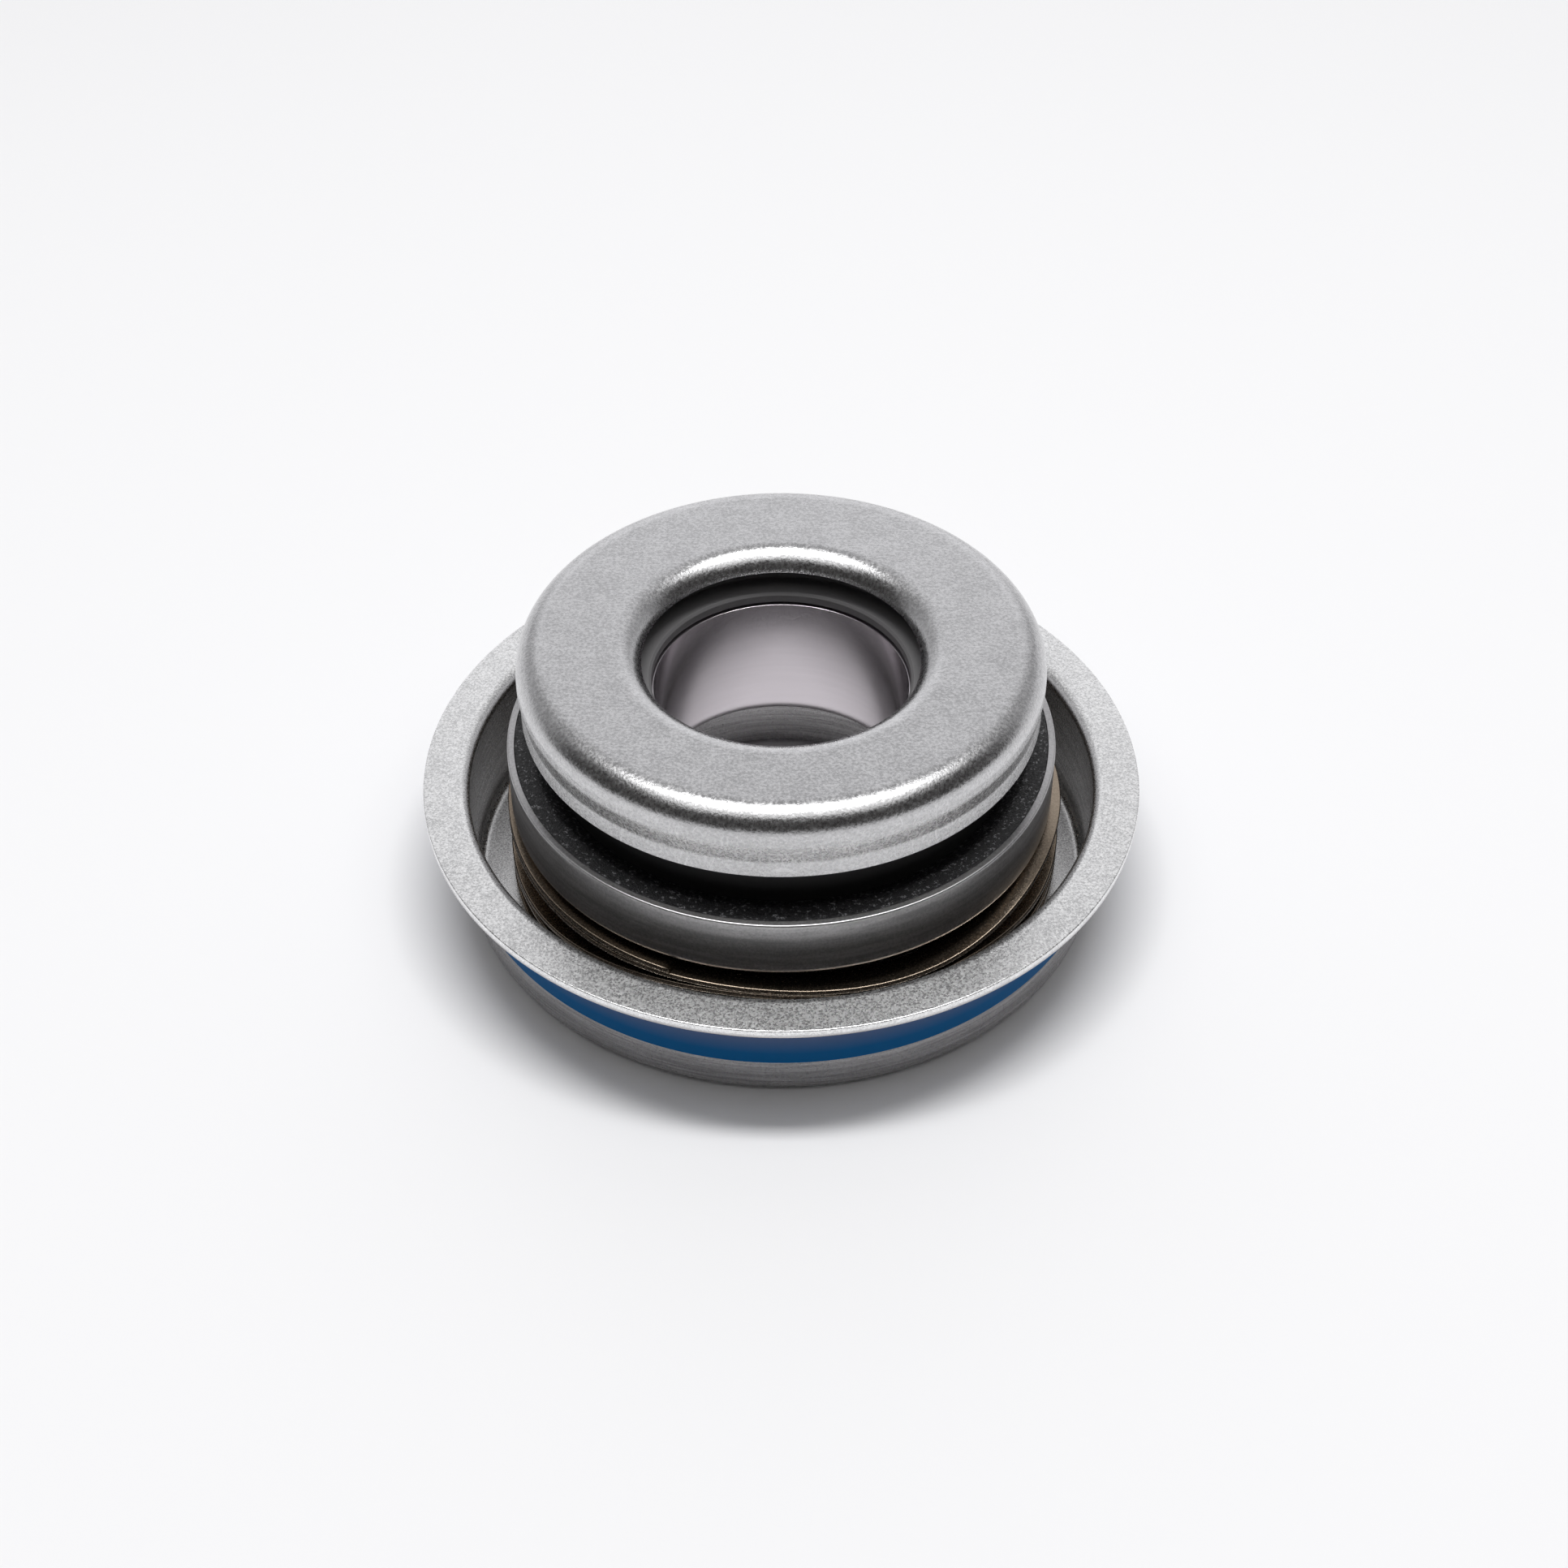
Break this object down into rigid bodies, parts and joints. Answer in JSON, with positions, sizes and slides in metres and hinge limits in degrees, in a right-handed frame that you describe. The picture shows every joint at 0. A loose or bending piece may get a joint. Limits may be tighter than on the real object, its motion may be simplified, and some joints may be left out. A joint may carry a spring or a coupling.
{
  "type": "water pump shaft seal",
  "caption": "Cartridge mechanical shaft seal for a coolant pump: flanged press-in cup, wave spring, rubber bellows, carbon ring and a rotating cap on a shaft sleeve.",
  "frame": {"origin": "on the shaft's axis, at the underside of the cup on which the seal rests", "axes": "+Z along the shaft, from the cup towards the rotating cap; the seal is round, and -Y is the side that the picture is taken from"},
  "size_m": [0.0344, 0.0344, 0.0141],
  "materials": {
    "cup_steel": "tumbled matte stainless sheet",
    "cap_steel": "tumbled satin stainless sheet with fine scratches",
    "shell_steel": "drawn stainless sheet, smooth satin",
    "sleeve_steel": "drawn stainless sheet, smooth satin bore",
    "spring_steel": "flat spring wire with a warm tint",
    "sealant": "thin blue sealant coat",
    "rubber": "moulded black rubber, rough at its lip",
    "boot_rubber": "smooth moulded black rubber",
    "carbon": "smooth dull carbon graphite",
    "ring_ceramic": "lapped hard ring"
  },
  "bodies": {
    "housing": {"housing_cup": "cup_steel", "sealant_band": "sealant", "wave_spring": "spring_steel", "bellows_clamp_ring": "cup_steel"},
    "seal_head": {"retainer_shell": "shell_steel", "carbon_ring": "carbon", "bellows": "rubber"},
    "rotor": {"shaft_sleeve": "sleeve_steel", "rotor_cap": "cap_steel", "mating_ring_boot": "boot_rubber", "mating_ring": "ring_ceramic"}
  },
  "joints": [
    {"name": "head_slide", "type": "slide", "parent": "housing", "child": "seal_head", "axis": [0, 0, 1], "range_m": [-0.002, 0], "stiffness_N_per_m": 5100, "deforming": ["wave_spring", "bellows"]},
    {"name": "rotor_spin", "type": "hinge", "parent": "seal_head", "child": "rotor", "pos_m": [0, 0, 0.0102], "axis": [0, 0, 1], "continuous": true}
  ]
}
